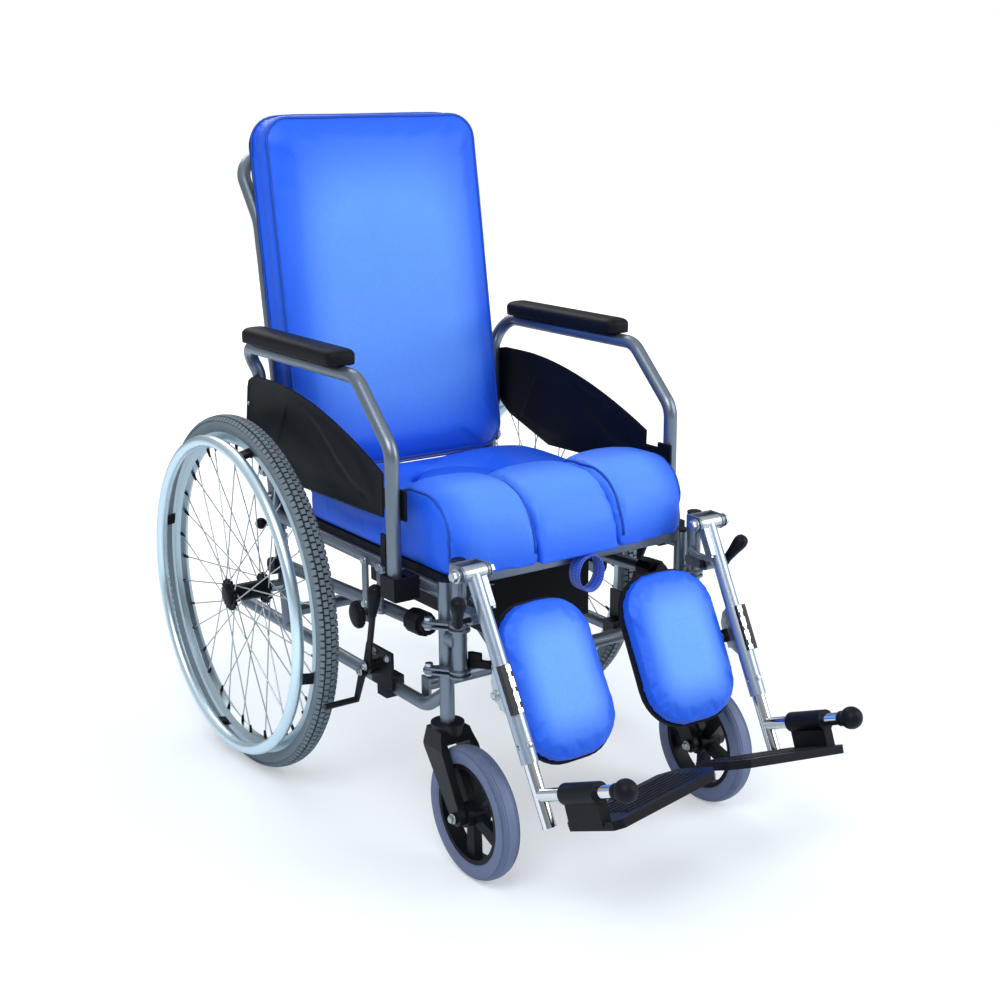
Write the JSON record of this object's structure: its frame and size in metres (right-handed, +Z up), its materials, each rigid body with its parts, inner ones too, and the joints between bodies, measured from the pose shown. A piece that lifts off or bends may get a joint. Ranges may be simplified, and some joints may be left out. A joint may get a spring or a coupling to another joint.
{
  "type": "commode wheelchair",
  "caption": "Self-propelled commode chair with large wheels, casters, padded seat and back, armrests, legrests with calf pads and a bucket under the seat.",
  "frame": {"origin": "middle of the floor area that the chair covers, on the floor", "axes": "+Z up, the chair faces -Y, +X is the seated person's left"},
  "size_m": [0.693, 1.2158, 1.0841],
  "materials": {
    "frame_silver": "satin",
    "rim_silver": "satin",
    "bright_steel": "polished",
    "tyre_grey": "matt",
    "plastic_black": "matt",
    "pad_black": "soft sheen",
    "vinyl_blue": "coated cloth, satin",
    "board_dark": "painted matt",
    "webbing_blue": "woven",
    "steel_black": "satin"
  },
  "bodies": {
    "base": {"side_frame_right": "frame_silver", "side_frame_left": "frame_silver", "cross_members": "frame_silver", "frame_fittings": "plastic_black", "frame_fasteners": "bright_steel", "seat_board": "board_dark", "seat_cushion": "vinyl_blue", "brake_brackets": "steel_black"},
    "back": {"back_frame": "frame_silver", "back_pad": "vinyl_blue", "back_board": "board_dark"},
    "insert": {"seat_plug": "vinyl_blue", "pull_strap": "webbing_blue"},
    "pan_body": {"pan": "plastic_black"},
    "rear_wheel_right": {"rear_tyre_right": "tyre_grey", "rear_rim_right": "rim_silver", "rear_hub_right": "plastic_black", "handrim_right": "rim_silver"},
    "caster_fork_body_right": {"caster_fork_right": "steel_black"},
    "caster_wheel_right": {"caster_tyre_right": "tyre_grey", "caster_centre_right": "plastic_black"},
    "recline_plunger_body_right": {"recline_plunger_right": "plastic_black"},
    "armrest_right": {"armrest_tube_right": "frame_silver", "armrest_pad_right": "pad_black", "armrest_panel_right": "plastic_black"},
    "armrest_latch_body_right": {"armrest_latch_right": "plastic_black"},
    "legrest_right": {"legrest_hanger_right": "frame_silver"},
    "swing_latch_body_right": {"swing_latch_right": "plastic_black"},
    "leg_right": {"leg_tube_right": "frame_silver"},
    "calf_right": {"calf_pad_right": "vinyl_blue", "calf_backing_right": "board_dark"},
    "elevation_lever_body_right": {"elevation_lever_right": "plastic_black"},
    "foot_right": {"foot_tube_right": "bright_steel"},
    "footplate_body_right": {"footplate_right": "plastic_black"},
    "brake_lever_body_right": {"brake_lever_right": "steel_black"},
    "brake_shoe_body_right": {"brake_shoe_right": "steel_black"},
    "hand_knob_body_right": {"hand_knob_right": "plastic_black"},
    "rear_wheel_left": {"rear_tyre_left": "tyre_grey", "rear_rim_left": "rim_silver", "rear_hub_left": "plastic_black", "handrim_left": "rim_silver"},
    "caster_fork_body_left": {"caster_fork_left": "steel_black"},
    "caster_wheel_left": {"caster_tyre_left": "tyre_grey", "caster_centre_left": "plastic_black"},
    "recline_plunger_body_left": {"recline_plunger_left": "plastic_black"},
    "armrest_left": {"armrest_tube_left": "frame_silver", "armrest_pad_left": "pad_black", "armrest_panel_left": "plastic_black"},
    "armrest_latch_body_left": {"armrest_latch_left": "plastic_black"},
    "legrest_left": {"legrest_hanger_left": "frame_silver"},
    "swing_latch_body_left": {"swing_latch_left": "plastic_black"},
    "leg_left": {"leg_tube_left": "frame_silver"},
    "calf_left": {"calf_pad_left": "vinyl_blue", "calf_backing_left": "board_dark"},
    "elevation_lever_body_left": {"elevation_lever_left": "plastic_black"},
    "foot_left": {"foot_tube_left": "bright_steel"},
    "footplate_body_left": {"footplate_left": "plastic_black"},
    "brake_lever_body_left": {"brake_lever_left": "steel_black"},
    "brake_shoe_body_left": {"brake_shoe_left": "steel_black"},
    "hand_knob_body_left": {"hand_knob_left": "plastic_black"}
  },
  "joints": [
    {"name": "rear_wheel_spin_left", "type": "hinge", "parent": "base", "child": "rear_wheel_left", "pos_m": [0.299, 0.30796, 0.3], "axis": [1, 0, 0], "continuous": true},
    {"name": "rear_wheel_spin_right", "type": "hinge", "parent": "base", "child": "rear_wheel_right", "pos_m": [-0.299, 0.30796, 0.3], "axis": [1, 0, 0], "continuous": true},
    {"name": "caster_swivel_left", "type": "hinge", "parent": "base", "child": "caster_fork_body_left", "pos_m": [0.223, -0.20004, 0.2192], "axis": [0, 0, 1], "continuous": true},
    {"name": "caster_swivel_right", "type": "hinge", "parent": "base", "child": "caster_fork_body_right", "pos_m": [-0.223, -0.20004, 0.2192], "axis": [0, 0, -1], "continuous": true},
    {"name": "caster_spin_left", "type": "hinge", "parent": "caster_fork_body_left", "child": "caster_wheel_left", "pos_m": [0.223, -0.26804, 0.1], "axis": [1, 0, 0], "continuous": true},
    {"name": "caster_spin_right", "type": "hinge", "parent": "caster_fork_body_right", "child": "caster_wheel_right", "pos_m": [-0.223, -0.26804, 0.1], "axis": [1, 0, 0], "continuous": true},
    {"name": "back_recline", "type": "hinge", "parent": "base", "child": "back", "pos_m": [0, 0.33337, 0.45], "axis": [-1, 0, 0], "range_deg": [0, 45]},
    {"name": "recline_plunger_left", "type": "slide", "parent": "base", "child": "recline_plunger_body_left", "axis": [0, 0, -1], "range_m": [0, 0.008], "stiffness_N_per_m": 800, "springref_m": -0.005},
    {"name": "recline_plunger_right", "type": "slide", "parent": "base", "child": "recline_plunger_body_right", "axis": [0, 0, -1], "range_m": [0, 0.008], "stiffness_N_per_m": 800, "springref_m": -0.005},
    {"name": "armrest_flip_left", "type": "hinge", "parent": "base", "child": "armrest_left", "pos_m": [0.237, 0.34096, 0.496], "axis": [-1, 0, 0], "range_deg": [0, 90]},
    {"name": "armrest_flip_right", "type": "hinge", "parent": "base", "child": "armrest_right", "pos_m": [-0.237, 0.34096, 0.496], "axis": [-1, 0, 0], "range_deg": [0, 90]},
    {"name": "armrest_latch_left", "type": "hinge", "parent": "base", "child": "armrest_latch_body_left", "pos_m": [0.245, -0.06604, 0.423], "axis": [1, 0, 0], "range_deg": [0, 15]},
    {"name": "armrest_latch_right", "type": "hinge", "parent": "base", "child": "armrest_latch_body_right", "pos_m": [-0.245, -0.06604, 0.423], "axis": [1, 0, 0], "range_deg": [0, 15]},
    {"name": "legrest_swing_left", "type": "hinge", "parent": "base", "child": "legrest_left", "pos_m": [0.25, -0.19504, 0.34], "axis": [0, 0, 1], "range_deg": [0, 90]},
    {"name": "legrest_swing_right", "type": "hinge", "parent": "base", "child": "legrest_right", "pos_m": [-0.25, -0.19504, 0.34], "axis": [0, 0, -1], "range_deg": [0, 90]},
    {"name": "swing_latch_left", "type": "hinge", "parent": "legrest_left", "child": "swing_latch_body_left", "pos_m": [0.20134, -0.23196, 0.32], "axis": [0, 0, -1], "range_deg": [0, 25], "stiffness_Nm_per_rad": 0.8, "springref_deg": -11.46},
    {"name": "swing_latch_right", "type": "hinge", "parent": "legrest_right", "child": "swing_latch_body_right", "pos_m": [-0.20134, -0.23196, 0.32], "axis": [0, 0, 1], "range_deg": [0, 25], "stiffness_Nm_per_rad": 0.8, "springref_deg": -11.46},
    {"name": "leg_elevate_left", "type": "hinge", "parent": "legrest_left", "child": "leg_left", "pos_m": [0.21984, -0.2668, 0.464], "axis": [-0.999, 0.0436, 0], "range_deg": [0, 65]},
    {"name": "leg_elevate_right", "type": "hinge", "parent": "legrest_right", "child": "leg_right", "pos_m": [-0.21984, -0.2668, 0.464], "axis": [-0.999, -0.0436, 0], "range_deg": [0, 65]},
    {"name": "elevation_lever_left", "type": "hinge", "parent": "legrest_left", "child": "elevation_lever_body_left", "pos_m": [0.23956, -0.27366, 0.398], "axis": [-0.999, 0.0436, 0], "range_deg": [0, 25], "stiffness_Nm_per_rad": 0.8, "springref_deg": -11.46},
    {"name": "elevation_lever_right", "type": "hinge", "parent": "legrest_right", "child": "elevation_lever_body_right", "pos_m": [-0.23956, -0.27366, 0.398], "axis": [-0.999, -0.0436, 0], "range_deg": [0, 25], "stiffness_Nm_per_rad": 0.8, "springref_deg": -11.46},
    {"name": "calf_tilt_left", "type": "hinge", "parent": "leg_left", "child": "calf_left", "pos_m": [0.21157, -0.3186, 0.29464], "axis": [0.999, -0.0436, 0], "range_deg": [-12, 12]},
    {"name": "calf_tilt_right", "type": "hinge", "parent": "leg_right", "child": "calf_right", "pos_m": [-0.21157, -0.3186, 0.29464], "axis": [0.999, 0.0436, 0], "range_deg": [-12, 12]},
    {"name": "foot_slide_left", "type": "slide", "parent": "leg_left", "child": "foot_left", "axis": [-0.0205, -0.469, -0.8829], "range_m": [-0.02, 0.08]},
    {"name": "foot_slide_right", "type": "slide", "parent": "leg_right", "child": "foot_right", "axis": [0.0205, -0.469, -0.8829], "range_m": [-0.02, 0.08]},
    {"name": "footplate_flip_left", "type": "hinge", "parent": "foot_left", "child": "footplate_body_left", "pos_m": [0.20937, -0.50674, 0.21779], "axis": [0.0404, 0.9263, -0.3746], "range_deg": [0, 90]},
    {"name": "footplate_flip_right", "type": "hinge", "parent": "foot_right", "child": "footplate_body_right", "pos_m": [-0.20937, -0.50674, 0.21779], "axis": [0.0404, -0.9263, 0.3746], "range_deg": [0, 90]},
    {"name": "brake_lever_left", "type": "hinge", "parent": "base", "child": "brake_lever_body_left", "pos_m": [0.257, -0.03004, 0.262], "axis": [1, 0, 0], "range_deg": [0, 40]},
    {"name": "brake_lever_right", "type": "hinge", "parent": "base", "child": "brake_lever_body_right", "pos_m": [-0.257, -0.03004, 0.262], "axis": [1, 0, 0], "range_deg": [0, 40]},
    {"name": "brake_shoe_left", "type": "hinge", "parent": "base", "child": "brake_shoe_body_left", "pos_m": [0.257, -0.01504, 0.248], "axis": [1, 0, 0], "range_deg": [0, 13.5]},
    {"name": "brake_shoe_right", "type": "hinge", "parent": "base", "child": "brake_shoe_body_right", "pos_m": [-0.257, -0.01504, 0.248], "axis": [1, 0, 0], "range_deg": [0, 13.5]},
    {"name": "hand_knob_left", "type": "hinge", "parent": "base", "child": "hand_knob_body_left", "pos_m": [0.234, 0.03196, 0.323], "axis": [1, 0, 0], "continuous": true},
    {"name": "hand_knob_right", "type": "hinge", "parent": "base", "child": "hand_knob_body_right", "pos_m": [-0.234, 0.03196, 0.323], "axis": [1, 0, 0], "continuous": true},
    {"name": "insert_lift", "type": "slide", "parent": "base", "child": "insert", "axis": [0, 0, 1], "range_m": [0, 0.15]},
    {"name": "pan_slide", "type": "slide", "parent": "base", "child": "pan_body", "axis": [0, 1, 0], "range_m": [0, 0.3]}
  ],
  "couplings": [
    {"joint": "brake_shoe_left", "follows": "brake_lever_left", "ratio": 0.3375},
    {"joint": "brake_shoe_right", "follows": "brake_lever_right", "ratio": 0.3375}
  ]
}
